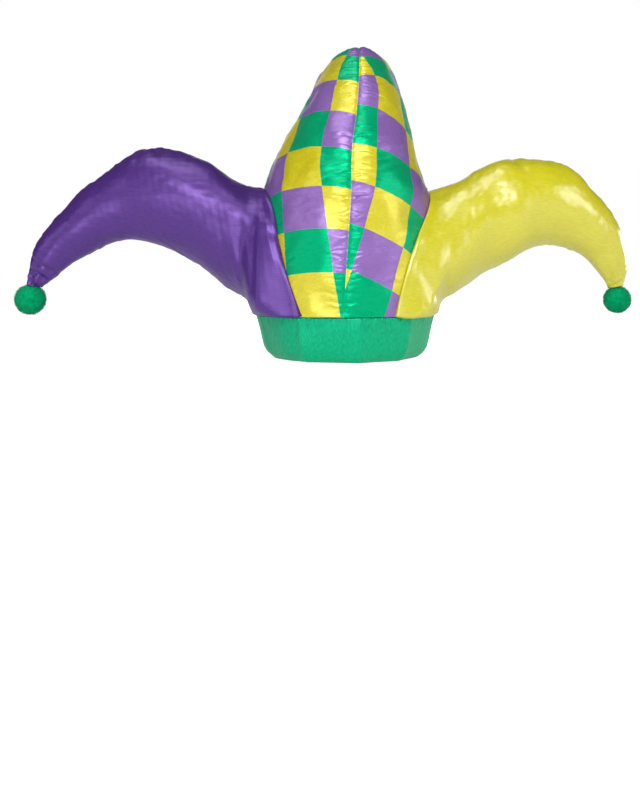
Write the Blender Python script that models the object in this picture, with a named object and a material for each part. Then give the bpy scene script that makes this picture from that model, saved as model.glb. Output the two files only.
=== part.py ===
# Jester hat: a green satin head band, a tall chequered crown that leans back,
# two stuffed side horns, and a pompom sewn to each of the three tips.
# Metres, +Z up. The wearer faces -Y, and the band rests on Z = 0.

import bmesh
import bpy
import numpy as np
from mathutils import Vector

# Head band
HEAD_WIDTH = 0.177        # side to side, at the band's top seam
HEAD_DEPTH = 0.194        # front to back, at the band's top seam
BAND_HEIGHT = 0.042
BAND_WALL = 0.003
BAND_TUCK_SIDE = 0.017    # how far the lower edge is drawn in at each side
BAND_TUCK_FRONT = 0.010   # the same at the front and the back
BAND_RIDGE = 0.0012       # how far the ridges stand out of the band's flats

# Crown
CROWN_HEIGHT = 0.270      # the band's top seam to the crown's peak
CROWN_REACH = 0.121       # how far the crown's tip hangs behind the band
CROWN_LEAN = 0.014        # how far the peak stands to the right of the band's middle
CROWN_WALL = 0.0025       # satin and its backing at the band
HEAD_ROOM = 0.114         # height of the hollow above the band

# Side horns
PURPLE_REACH = 0.2255     # from the band's side to the horn's far end
PURPLE_RISE = 0.165       # from the band's top seam to the horn's peak
PURPLE_SWEEP = -0.010     # how far the tip is swept back (forward if negative)
YELLOW_REACH = 0.190
YELLOW_RISE = 0.156
YELLOW_SWEEP = 0.025
HORN_THICKNESS = 0.100    # front to back, where the horn is its full self
FOLD_DEPTH = 0.006        # the deepest fold of a horn
SEAM_SINK = 0.0012        # how far a sewn seam pulls the stuffed satin in

# Pompoms
PURPLE_POMPOM = 0.0325
YELLOW_POMPOM = 0.0295
CROWN_POMPOM = 0.031
POMPOM_SEAT = 0.78        # height of the sewn flat, as a share of the pompom's radius
LOCK_LENGTH = 0.10        # how far the locks stand out, as a share of the radius

CLEARANCE = 0.0003        # gap between neighbours

# Fineness of the faceted forms
BAND_SEGMENTS = 60
CROWN_SEGMENTS = 36
CROWN_RINGS = 24
DOME_RINGS = 7
HORN_SEGMENTS = 28
HORN_RINGS = 22
TIP_GATHERS = 7

CROWN_BASE = BAND_HEIGHT + CLEARANCE
FRONT, SIDEWAYS, UP = np.array([0, -1, 0]), np.array([1, 0, 0]), np.array([0, 0, 1])

# The band's outer face, from its top seam to its lower edge:
# height as a share of BAND_HEIGHT, and the share of the tuck reached there.
BAND_PROFILE = (
    # height, tuck
    (1.00, 0.00),
    (0.72, 0.14),
    (0.45, 0.27),
    (0.25, 0.42),
    (0.11, 0.64),
    (0.00, 1.00),
)

# Ridges (1) and flats (-1) round the band, by degrees to the right of its front.
BAND_RIDGES = (
    # degrees, height
    (-180, 0.0),
    (-90, 0.0),
    (-52, -0.6),
    (-31, 1.0),
    (-10, -1.0),
    (10, 1.0),
    (27, -1.0),
    (43, 1.0),
    (62, -0.6),
    (90, 0.0),
    (180, 0.0),
)

# Sections of the crown, from the band to its tip. The front edge and the back edge
# lie at: the share of half HEAD_DEPTH, plus the share of CROWN_REACH, behind the
# middle, and at the share of CROWN_HEIGHT. Width is a share of half HEAD_WIDTH, the
# leans of the two edges are shares of CROWN_LEAN, and gather is the depth of the
# tip's pleats.
CROWN_SECTIONS = (
    # front, reach,  height, back, reach,  height, width, lean, back lean, gather
    (-1.000, 0.000, 0.000, 1.000, 0.000, 0.000, 1.000, -0.10, 0.10, 0.00),
    (-1.041, 0.000, 0.144, 1.000, 0.016, 0.126, 1.000, 0.06, -0.06, 0.00),
    (-1.046, 0.000, 0.289, 1.000, 0.041, 0.237, 0.994, 0.24, -0.20, 0.00),
    (-1.020, 0.000, 0.437, 1.000, 0.091, 0.330, 0.972, 0.41, -0.36, 0.00),
    (-0.918, 0.000, 0.576, 1.000, 0.149, 0.393, 0.880, 0.46, -0.70, 0.00),
    (-0.737, 0.000, 0.707, 1.000, 0.215, 0.437, 0.785, 0.76, -0.85, 0.00),
    (-0.531, 0.000, 0.832, 1.000, 0.281, 0.467, 0.678, 0.95, -0.40, 0.00),
    (-0.250, 0.000, 0.938, 1.000, 0.347, 0.485, 0.585, 1.00, 0.00, 0.00),
    (0.031, 0.000, 0.983, 1.000, 0.413, 0.496, 0.565, 1.00, 0.40, 0.00),
    (0.361, 0.000, 1.000, 1.000, 0.479, 0.500, 0.560, 1.00, 0.70, 0.00),
    (0.742, 0.000, 0.989, 1.000, 0.504, 0.500, 0.535, 1.00, 0.90, 0.00),
    (1.000, 0.124, 0.941, 1.000, 0.545, 0.489, 0.492, 1.00, 1.00, 0.00),
    (1.000, 0.421, 0.848, 1.000, 0.587, 0.467, 0.446, 1.00, 1.00, 0.00),
    (1.000, 0.653, 0.730, 1.000, 0.624, 0.437, 0.395, 1.00, 1.00, 0.00),
    (1.000, 0.818, 0.596, 1.000, 0.665, 0.400, 0.333, 1.00, 1.00, 0.00),
    (1.000, 0.926, 0.467, 1.000, 0.711, 0.352, 0.266, 1.00, 1.00, 0.02),
    (1.000, 0.983, 0.356, 1.000, 0.777, 0.296, 0.192, 1.00, 1.00, 0.06),
    (1.000, 1.000, 0.274, 1.000, 0.839, 0.248, 0.134, 1.00, 1.00, 0.12),
    (1.000, 0.992, 0.216, 1.000, 0.862, 0.208, 0.094, 1.00, 1.00, 0.14),
)

# Sections of a side horn, from inside the crown to its tip. Side is a share of half
# HEAD_WIDTH. The top edge and the lower edge add their share of the horn's reach, at
# their share of its rise. Half the depth is the share of half HEAD_DEPTH plus the
# share of half HORN_THICKNESS. Belly says how far up the section is widest, and
# square how full its corners are: 2 is an ellipse.
PURPLE_SECTIONS = (
    # side, top, rise,   low, rise,    head, horn, belly, square, gather
    (0.35, 0.000, 0.660, 0.000, -0.10, 0.90, 0.00, 0.16, 2.6, 0.00),
    (0.70, 0.000, 0.745, 0.000, -0.10, 0.86, 0.00, 0.15, 2.6, 0.00),
    (0.97, 0.000, 0.756, 0.000, -0.02, 0.78, 0.00, 0.22, 2.5, 0.00),
    (1.00, 0.090, 0.812, 0.055, 0.103, 0.40, 0.54, 0.38, 2.3, 0.00),
    (1.00, 0.203, 0.906, 0.142, 0.170, 0.14, 0.87, 0.46, 2.2, 0.00),
    (1.00, 0.321, 0.975, 0.251, 0.291, 0.00, 1.00, 0.50, 2.1, 0.00),
    (1.00, 0.439, 1.010, 0.369, 0.372, 0.00, 0.89, 0.50, 2.0, 0.00),
    (1.00, 0.544, 0.970, 0.474, 0.421, 0.00, 0.79, 0.50, 2.0, 0.00),
    (1.00, 0.648, 0.873, 0.561, 0.439, 0.00, 0.69, 0.50, 2.0, 0.00),
    (1.00, 0.758, 0.764, 0.644, 0.422, 0.00, 0.59, 0.50, 2.0, 0.00),
    (1.00, 0.854, 0.633, 0.723, 0.364, 0.00, 0.51, 0.50, 2.0, 0.00),
    (1.00, 0.932, 0.515, 0.801, 0.303, 0.00, 0.42, 0.50, 2.0, 0.02),
    (1.00, 0.980, 0.382, 0.867, 0.236, 0.00, 0.33, 0.50, 2.0, 0.06),
    (1.00, 1.000, 0.279, 0.904, 0.197, 0.00, 0.23, 0.50, 2.0, 0.12),
    (1.00, 1.012, 0.180, 0.940, 0.156, 0.00, 0.17, 0.50, 2.0, 0.14),
)
YELLOW_SECTIONS = (
    # side, top, rise,   low, rise,    head, horn, belly, square, gather
    (0.35, 0.000, 0.690, 0.000, -0.11, 0.90, 0.00, 0.16, 2.6, 0.00),
    (0.70, 0.000, 0.775, 0.000, -0.11, 0.86, 0.00, 0.15, 2.6, 0.00),
    (0.97, 0.000, 0.779, 0.000, -0.02, 0.78, 0.00, 0.22, 2.5, 0.00),
    (1.00, 0.108, 0.837, 0.066, 0.095, 0.40, 0.54, 0.38, 2.3, 0.00),
    (1.00, 0.234, 0.926, 0.171, 0.176, 0.14, 0.87, 0.46, 2.2, 0.00),
    (1.00, 0.350, 0.994, 0.287, 0.272, 0.00, 1.00, 0.50, 2.1, 0.00),
    (1.00, 0.466, 1.003, 0.413, 0.346, 0.00, 0.92, 0.50, 2.0, 0.00),
    (1.00, 0.587, 0.996, 0.518, 0.413, 0.00, 0.83, 0.50, 2.0, 0.00),
    (1.00, 0.703, 0.949, 0.613, 0.440, 0.00, 0.74, 0.50, 2.0, 0.00),
    (1.00, 0.808, 0.859, 0.697, 0.423, 0.00, 0.65, 0.50, 2.0, 0.00),
    (1.00, 0.903, 0.734, 0.771, 0.385, 0.00, 0.56, 0.50, 2.0, 0.00),
    (1.00, 0.982, 0.583, 0.834, 0.333, 0.00, 0.46, 0.50, 2.0, 0.02),
    (1.00, 1.036, 0.436, 0.887, 0.269, 0.00, 0.35, 0.50, 2.0, 0.06),
    (1.00, 1.055, 0.301, 0.926, 0.205, 0.00, 0.24, 0.50, 2.0, 0.12),
    (1.00, 1.040, 0.173, 0.945, 0.157, 0.00, 0.17, 0.50, 2.0, 0.14),
)

# Folds of the horns: where along the horn's sections (0 root, 1 tip), how many degrees
# round from its top towards the front, how far each way, and the share of FOLD_DEPTH.
PURPLE_FOLDS = (
    # along, round, along width, round width, depth
    (0.19, 125, 0.022, 42, 1.00),
    (0.17, 28, 0.040, 18, 0.80),
    (0.42, 22, 0.018, 16, 0.40),
    (0.55, 20, 0.018, 14, 0.30),
)
YELLOW_FOLDS = (
    # along, round, along width, round width, depth
    (0.19, 130, 0.022, 36, 0.70),
    (0.41, 24, 0.020, 18, 0.50),
    (0.16, 20, 0.040, 16, 0.40),
)


def satin(name, colour, roughness):
    """A plain cloth material in one colour."""
    material = bpy.data.materials.new(name)
    material.use_nodes = True
    shader = material.node_tree.nodes["Principled BSDF"]
    shader.inputs["Base Color"].default_value = (*colour, 1.0)
    shader.inputs["Roughness"].default_value = roughness
    shader.inputs["Metallic"].default_value = 0.0
    material.diffuse_color = (*colour, 1.0)
    return material


def place(name, bm, material):
    """Turns a finished bmesh into an object."""
    mesh = bpy.data.meshes.new(name)
    bm.to_mesh(mesh)
    bm.free()
    mesh.materials.append(material)
    mesh.shade_smooth()
    mesh.set_sharp_from_angle(angle=np.radians(40))
    thing = bpy.data.objects.new(name, mesh)
    bpy.context.scene.collection.objects.link(thing)
    return thing


def skin(rings, looped=False):
    """Faces between neighbouring rings of points, which are capped or looped."""
    bm = bmesh.new()
    loops = [[bm.verts.new(point) for point in ring] for ring in rings]
    pairs = list(zip(loops, loops[1:]))
    if looped:
        pairs.append((loops[-1], loops[0]))
    else:
        bm.faces.new(loops[0])
        bm.faces.new(loops[-1])
    for low, high in pairs:
        for i in range(len(low)):
            j = (i + 1) % len(low)
            bm.faces.new((low[i], low[j], high[j], high[i]))
    bmesh.ops.recalc_face_normals(bm, faces=bm.faces[:])
    return bm


def smoothed(table, count):
    """Rows on the smooth curve through a table's rows (Catmull-Rom)."""
    rows = np.array(table)
    last = len(rows) - 1
    at = np.linspace(0, last, count)
    start = np.minimum(at.astype(int), last - 1)
    t = (at - start)[:, None]
    a, b, c, d = (rows[np.clip(start + step, 0, last)] for step in (-1, 0, 1, 2))
    return 0.5 * (2 * b + (c - a) * t + (2 * a - 5 * b + 4 * c - d) * t**2 + (3 * b - a - 3 * c + d) * t**3)


def oval(outer, inner, side, half_width, belly, square, gather, segments):
    """One section: an oval from its inner point to its outer one, widest at its belly."""
    angle = np.linspace(0, 2 * np.pi, segments, endpoint=False)
    rise = np.abs(np.cos(angle)) ** (2 / square)
    share = np.where(np.cos(angle) >= 0, belly + (1 - belly) * rise, belly * (1 - rise))
    across = half_width * np.sign(np.sin(angle)) * np.abs(np.sin(angle)) ** (2 / square)
    ring = inner + share[:, None] * (outer - inner) + across[:, None] * side
    middle = (inner + outer) / 2
    return middle + (ring - middle) * (1 + gather * np.cos(TIP_GATHERS * angle))[:, None]


def sink_seams(ring, amount):
    """Pulls the two seams of a section, at its outer and its inner point, inwards."""
    middle = ring.mean(axis=0)
    for seam in (0, len(ring) // 2):
        inwards = middle - ring[seam]
        ring[seam] += inwards / np.linalg.norm(inwards) * amount
    return ring


def band_outline(tuck, height_share):
    """The band's outer edge at one height: an oval drawn in, with its ridges."""
    angle = np.linspace(-np.pi, np.pi, BAND_SEGMENTS, endpoint=False)
    degrees, heights = np.array(BAND_RIDGES).T
    ridge = np.interp(np.degrees(angle), degrees, heights) * BAND_RIDGE * (1 - height_share)
    across = HEAD_WIDTH / 2 - BAND_TUCK_SIDE * tuck + ridge
    along = HEAD_DEPTH / 2 - BAND_TUCK_FRONT * tuck + ridge
    return np.stack([across * np.sin(angle), -along * np.cos(angle)], axis=1)


def make_band(material):
    """A strip of even wall: down its outer face, and up its inner one."""
    outer, inner = [], []
    for height, tuck in BAND_PROFILE:
        outline = band_outline(tuck, height)
        level = np.full((BAND_SEGMENTS, 1), height * BAND_HEIGHT)
        outer.append(np.hstack([outline, level]))
        length = np.linalg.norm(outline, axis=1, keepdims=True)
        inner.append(np.hstack([outline * (1 - BAND_WALL / length), level]))
    return place("band", skin(outer + inner[::-1], looped=True), material)


def crown_rings(segments, rings):
    """The crown's outer sections, from the band to its tip."""
    half_depth, half_width = HEAD_DEPTH / 2, HEAD_WIDTH / 2
    result = []
    for row in smoothed(CROWN_SECTIONS, rings):
        front, front_reach, front_rise, back, back_reach, back_rise, width, lean, back_lean, gather = row
        outer = SIDEWAYS * CROWN_LEAN * lean - FRONT * (half_depth * front + CROWN_REACH * front_reach)
        outer = outer + UP * (CROWN_BASE + CROWN_HEIGHT * front_rise)
        inner = SIDEWAYS * CROWN_LEAN * back_lean - FRONT * (half_depth * back + CROWN_REACH * back_reach)
        inner = inner + UP * (CROWN_BASE + CROWN_HEIGHT * back_rise)
        ring = oval(outer, inner, SIDEWAYS, half_width * width, 0.5, 2.0, gather, segments)
        result.append(sink_seams(ring, SEAM_SINK * min(1, len(result) / 2)))
    return result


def dome_rings():
    """The hollow for the head, from the crown's rim up to the top of its dome."""
    squareness = 2.8
    top_share = 0.97
    result = []
    for share in np.sin(np.linspace(0, np.arcsin(top_share), DOME_RINGS)):
        spread = (1 - share**squareness) ** (1 / squareness)
        angle = np.linspace(0, 2 * np.pi, CROWN_SEGMENTS, endpoint=False)
        across = (HEAD_WIDTH / 2 - CROWN_WALL) * spread * np.sin(angle)
        along = -(HEAD_DEPTH / 2 - CROWN_WALL) * spread * np.cos(angle)
        level = np.full(CROWN_SEGMENTS, CROWN_BASE + HEAD_ROOM * share)
        result.append(np.stack([across, along, level], axis=1))
    return result


def make_crown(material):
    """The stuffed crown: down inside its dome, out across the rim, and up to the tip."""
    return place("crown", skin(dome_rings()[::-1] + crown_rings(CROWN_SEGMENTS, CROWN_RINGS)), material)


def crown_cutter():
    """The crown's outer form, grown by the clearance, which shapes the horns' roots."""
    rings = crown_rings(CROWN_SEGMENTS, CROWN_RINGS)
    below = rings[0] - UP * BAND_HEIGHT
    bm = skin([below] + rings)
    bm.normal_update()
    grown = [vert.co + vert.normal * CLEARANCE for vert in bm.verts]
    for vert, spot in zip(bm.verts, grown):
        vert.co = spot
    return guide("crown_cutter", bm)


def guide(name, bm):
    """A helper object that only cuts others."""
    mesh = bpy.data.meshes.new(name)
    bm.to_mesh(mesh)
    bm.free()
    thing = bpy.data.objects.new(name, mesh)
    bpy.context.scene.collection.objects.link(thing)
    thing.hide_render = True
    thing.display_type = "WIRE"
    return thing


def folded(rings, folds):
    """Presses each fold into a horn's sections."""
    along = np.linspace(0, 1, len(rings))[:, None]
    degrees = np.linspace(0, 360, rings.shape[1], endpoint=False)[None, :]
    middle = rings.mean(axis=1, keepdims=True)
    inwards = middle - rings
    inwards /= np.linalg.norm(inwards, axis=2, keepdims=True)
    for place_along, place_round, wide_along, wide_round, depth in folds:
        off_along = (along - place_along) / wide_along
        off_round = (degrees - place_round) / wide_round
        press = FOLD_DEPTH * depth * np.exp(-(off_along**2) - off_round**2)
        rings = rings + inwards * press[:, :, None]
    return rings


def horn_rings(sections, folds, hand, reach, rise, sweep):
    """A side horn's sections; hand is -1 for the left side and 1 for the right one."""
    rows = smoothed(sections, HORN_RINGS)
    result = []
    for share, row in zip(np.linspace(0, 1, HORN_RINGS), rows):
        side, top, top_rise, low, low_rise, at_head, at_horn, belly, square, gather = row
        root = SIDEWAYS * hand * HEAD_WIDTH / 2 * side + UP * BAND_HEIGHT - FRONT * sweep * share**2
        outer = root + SIDEWAYS * hand * reach * top + UP * rise * top_rise
        inner = root + SIDEWAYS * hand * reach * low + UP * rise * low_rise
        half_depth = HEAD_DEPTH / 2 * at_head + HORN_THICKNESS / 2 * at_horn
        ring = oval(outer, inner, FRONT, half_depth, belly, square, gather, HORN_SEGMENTS)
        result.append(sink_seams(ring, SEAM_SINK))
    rings = folded(np.array(result), folds)
    root = rings[: HORN_RINGS // 3, :, 2]
    np.maximum(root, CROWN_BASE, out=root)  # the root ends on the band's top seam
    return rings


def make_horn(name, rings, material, cutter):
    """A stuffed horn whose root fits round the crown."""
    horn = place(name, skin(rings), material)
    cut = horn.modifiers.new("root", "BOOLEAN")
    cut.operation = "DIFFERENCE"
    cut.object = cutter
    return horn


def make_pompom(name, tip_ring, ring_before, diameter, material):
    """A ball of locks, with a flat where it is sewn to a horn's tip."""
    radius = diameter / 2
    centre = tip_ring.mean(axis=0)
    normal = Vector(np.cross(tip_ring[0] - centre, tip_ring[len(tip_ring) // 4] - centre)).normalized()
    if normal.dot(Vector(centre - ring_before.mean(axis=0))) < 0:
        normal = -normal
    seat = radius * POMPOM_SEAT
    middle = Vector(centre) + normal * (seat + CLEARANCE)
    bm = bmesh.new()
    bmesh.ops.create_icosphere(bm, subdivisions=2, radius=radius * (1 - LOCK_LENGTH))
    locks = bmesh.ops.poke(bm, faces=bm.faces[:])["verts"]
    for lock in locks:
        lock.co = lock.co.normalized() * radius
    turn = locks[0].co.rotation_difference(-normal)
    for vert in bm.verts:
        vert.co = turn @ vert.co
        above = vert.co.dot(-normal) - seat
        if above > 0:
            vert.co += normal * above
        vert.co += middle
    return place(name, bm, material)


def rest_on_middle(things):
    """Moves the finished hat so that its box is centred on X = 0 and Y = 0."""
    bpy.context.view_layer.update()
    corners = []
    graph = bpy.context.evaluated_depsgraph_get()
    for thing in things:
        shape = thing.evaluated_get(graph)
        corners += [shape.matrix_world @ vert.co for vert in shape.data.vertices]
    spread = np.array(corners)
    middle = (spread.min(axis=0) + spread.max(axis=0)) / 2
    for thing in bpy.context.scene.objects:
        thing.location = (-middle[0], -middle[1], 0)


def main():
    for thing in list(bpy.data.objects):
        bpy.data.objects.remove(thing)

    green = satin("green_satin", (0.010, 0.330, 0.140), 0.35)
    print_satin = satin("chequered_satin", (0.240, 0.300, 0.120), 0.40)
    purple = satin("purple_satin", (0.100, 0.050, 0.270), 0.35)
    yellow = satin("yellow_satin", (0.660, 0.620, 0.040), 0.35)
    fluff = satin("green_fluff", (0.005, 0.330, 0.130), 0.90)

    cutter = crown_cutter()
    purple_rings = horn_rings(PURPLE_SECTIONS, PURPLE_FOLDS, -1, PURPLE_REACH, PURPLE_RISE, PURPLE_SWEEP)
    yellow_rings = horn_rings(YELLOW_SECTIONS, YELLOW_FOLDS, 1, YELLOW_REACH, YELLOW_RISE, YELLOW_SWEEP)
    crown_tip = crown_rings(CROWN_SEGMENTS, CROWN_RINGS)[-2:]

    things = [
        make_band(green),
        make_crown(print_satin),
        make_horn("purple_horn", purple_rings, purple, cutter),
        make_horn("yellow_horn", yellow_rings, yellow, cutter),
        make_pompom("purple_horn_pompom", purple_rings[-1], purple_rings[-2], PURPLE_POMPOM, fluff),
        make_pompom("yellow_horn_pompom", yellow_rings[-1], yellow_rings[-2], YELLOW_POMPOM, fluff),
        make_pompom("crown_pompom", crown_tip[1], crown_tip[0], CROWN_POMPOM, fluff),
    ]
    rest_on_middle(things)


main()
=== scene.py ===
import bpy
import numpy as np
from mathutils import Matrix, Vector


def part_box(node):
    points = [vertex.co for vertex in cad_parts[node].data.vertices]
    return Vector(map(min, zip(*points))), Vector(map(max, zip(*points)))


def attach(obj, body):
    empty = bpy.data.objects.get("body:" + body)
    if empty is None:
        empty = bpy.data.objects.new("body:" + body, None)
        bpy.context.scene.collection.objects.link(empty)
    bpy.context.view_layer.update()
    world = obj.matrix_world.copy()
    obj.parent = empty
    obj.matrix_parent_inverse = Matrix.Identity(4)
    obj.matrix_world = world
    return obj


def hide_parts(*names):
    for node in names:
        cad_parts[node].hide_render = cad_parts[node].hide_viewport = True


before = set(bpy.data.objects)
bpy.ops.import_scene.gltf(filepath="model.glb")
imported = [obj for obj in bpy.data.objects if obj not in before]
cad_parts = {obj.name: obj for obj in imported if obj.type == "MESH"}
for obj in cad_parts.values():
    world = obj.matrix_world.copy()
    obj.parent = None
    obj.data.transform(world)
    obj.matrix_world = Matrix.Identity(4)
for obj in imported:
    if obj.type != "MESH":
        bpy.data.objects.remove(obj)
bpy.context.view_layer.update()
bandLow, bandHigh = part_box("band")
print("stage: frame loaded")

# The middle of the head band on the floor. Every piece is placed from here, in metres.
middle = np.array([(bandLow.x + bandHigh.x) / 2, (bandLow.y + bandHigh.y) / 2, 0.0])
sideways = np.array([1.0, 0.0, 0.0])
frontwards = np.array([0.0, -1.0, 0.0])

# Sizes shared by the pieces, as in the CAD source.
hat = {
    "headWidth": 0.177,
    "headDepth": 0.194,
    "bandHeight": 0.042,
    "crownBase": 0.0423,  # the band's top seam and the gap above it
    "crownHeight": 0.270,
    "crownReach": 0.121,
    "crownLean": 0.014,
    "hornThickness": 0.100,
    "gathers": 7,
}


def rowsAt(table, at):
    # Catmull-Rom curve through the table's rows; at counts rows, and may be an array of any shape.
    last = len(table) - 1
    start = np.clip(np.floor(at).astype(int), 0, last - 1)
    t = (at - start)[..., None]
    a, b, c, d = (table[np.clip(start + step, 0, last)] for step in (-1, 0, 1, 2))
    cubic = 2 * b + (c - a) * t + (2 * a - 5 * b + 4 * c - d) * t**2
    return 0.5 * (cubic + (3 * b - a - 3 * c + d) * t**3)


def evenRows(lengthAt, last, count):
    # Row numbers from 0 to last, spaced so that lengthAt grows by the same step each time.
    fine = np.linspace(0, last, 4000)
    length = lengthAt(fine)
    return np.interp(np.linspace(0, length[-1], count), length, fine)


def lengths(points):
    # Distance walked along a line of points, from 0 at its first point.
    steps = np.linalg.norm(np.diff(points, axis=0), axis=-1)
    return np.concatenate([np.zeros_like(steps[:1]), np.cumsum(steps, axis=0)])


def ripple(points, wave, seed):
    # Smooth noise: a sum of 16 sine waves in random directions, each about `wave` long, divided by about the
    # root of half their number, which brings it to unit size.
    draw = np.random.default_rng(seed)
    ways = draw.normal(size=(3, 16))
    ways /= np.linalg.norm(ways, axis=0)
    turns = 2 * np.pi / (wave * draw.uniform(0.7, 1.5, 16))
    return np.sin(points @ (ways * turns) + draw.uniform(0, 6.28, 16)).sum(axis=-1) / 2.83


def puckers(along, across, spots, wander=0.0):
    # Short creases that run out from a seam. Each is a bell along the seam with a smaller valley beside it,
    # slanted, fading across the seam, and wandering from side to side by a sine wave.
    total = np.zeros(np.broadcast(along, across).shape)
    for number, (place, slant, width, length, height) in enumerate(spots):
        bent = place + slant * across + wander * np.sin(across / 0.0024 + 2.4 * number)
        off = (along - bent) / width
        fade = np.exp(-((across / length) ** 2))
        total += height * (np.exp(-(off**2)) - 0.7 * np.exp(-((off - 1.5) ** 2))) * fade
    return total


def seamSpots(seed, start, end, gap, width, length, height):
    # Random places for a seam's creases: gap apart, each with its own slant, width, length and height.
    draw = np.random.default_rng(seed)
    places = np.arange(start, end, gap)
    count = len(places)
    return np.stack([
        places + draw.uniform(-0.45, 0.45, count) * gap,
        draw.uniform(-0.35, 0.35, count),
        width * draw.uniform(0.7, 1.4, count),
        length * draw.uniform(0.4, 1.3, count),
        height * draw.uniform(0.3, 1.0, count) ** 2 * draw.choice([-1, 1, 1], count),
    ], axis=1)


def normalsOf(points):
    # Unit normals of a grid whose columns run round and join up: the cross product of its two directions.
    around = np.roll(points, -1, axis=1) - np.roll(points, 1, axis=1)
    along = np.gradient(points, axis=0)
    normals = np.cross(around, along)
    return normals / np.maximum(np.linalg.norm(normals, axis=2, keepdims=True), 1e-12)


def solid(name, points, uvs, loopedRows=False):
    # Closed mesh from a grid of points whose columns join up. The first and last row end in a
    # fan round their middle, or join each other. Faces are turned outwards by the sign of the volume.
    rows, columns = points.shape[:2]
    i, j = np.meshgrid(np.arange(rows if loopedRows else rows - 1), np.arange(columns), indexing="ij")
    i, j = i.ravel(), j.ravel()
    corners = [(i, j), (i, j + 1), (i + 1, j + 1), (i + 1, j)]
    quads = np.stack([(a % rows) * columns + b % columns for a, b in corners], axis=1)
    cornerUvs = np.stack([uvs(a, b, j) for a, b in corners], axis=1)
    spots = points.reshape(-1, 3)
    fans = np.zeros((0, 3), int)
    fanUvs = np.zeros((0, 3, 2))
    if not loopedRows:
        ring = np.arange(columns)
        after = (ring + 1) % columns
        poles = np.array([points[0].mean(axis=0), points[-1].mean(axis=0)])
        low = np.stack([np.full(columns, len(spots)), after, ring], axis=1)
        high = np.stack([np.full(columns, len(spots) + 1), ring, after], axis=1)
        high[:, 1:] += (rows - 1) * columns
        fans = np.concatenate([low, high])
        spots = np.concatenate([spots, poles])
        zero, top = np.zeros(columns, int), np.full(columns, rows - 1)
        lowUvs = [uvs(zero, ring, ring), uvs(zero, ring + 1, ring), uvs(zero, ring, ring)]
        highUvs = [uvs(top, ring, ring), uvs(top, ring, ring), uvs(top, ring + 1, ring)]
        fanUvs = np.concatenate([np.stack(lowUvs, axis=1), np.stack(highUvs, axis=1)])
    a, b, c = spots[quads[:, 0]], spots[quads[:, 1]], spots[quads[:, 2]]
    if (a * np.cross(b, c)).sum() < 0:
        quads, fans = quads[:, ::-1], fans[:, ::-1]
        cornerUvs, fanUvs = cornerUvs[:, ::-1], fanUvs[:, ::-1]
    return meshPiece(name, spots, quads.tolist() + fans.tolist(), np.concatenate([
        cornerUvs.reshape(-1, 2), fanUvs.reshape(-1, 2)]))


def meshPiece(name, spots, faces, cornerUvs):
    # Smooth-shaded mesh object from points, faces and one UV pair for each face corner.
    mesh = bpy.data.meshes.new(name)
    mesh.from_pydata(spots, [], faces)
    layer = mesh.uv_layers.new(name="clothMap")
    layer.data.foreach_set("uv", cornerUvs.astype(np.float32).ravel())
    mesh.shade_smooth()
    mesh.update()
    thing = bpy.data.objects.new(name, mesh)
    bpy.context.scene.collection.objects.link(thing)
    print("stage:", name, len(faces), "faces")
    return thing


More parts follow.
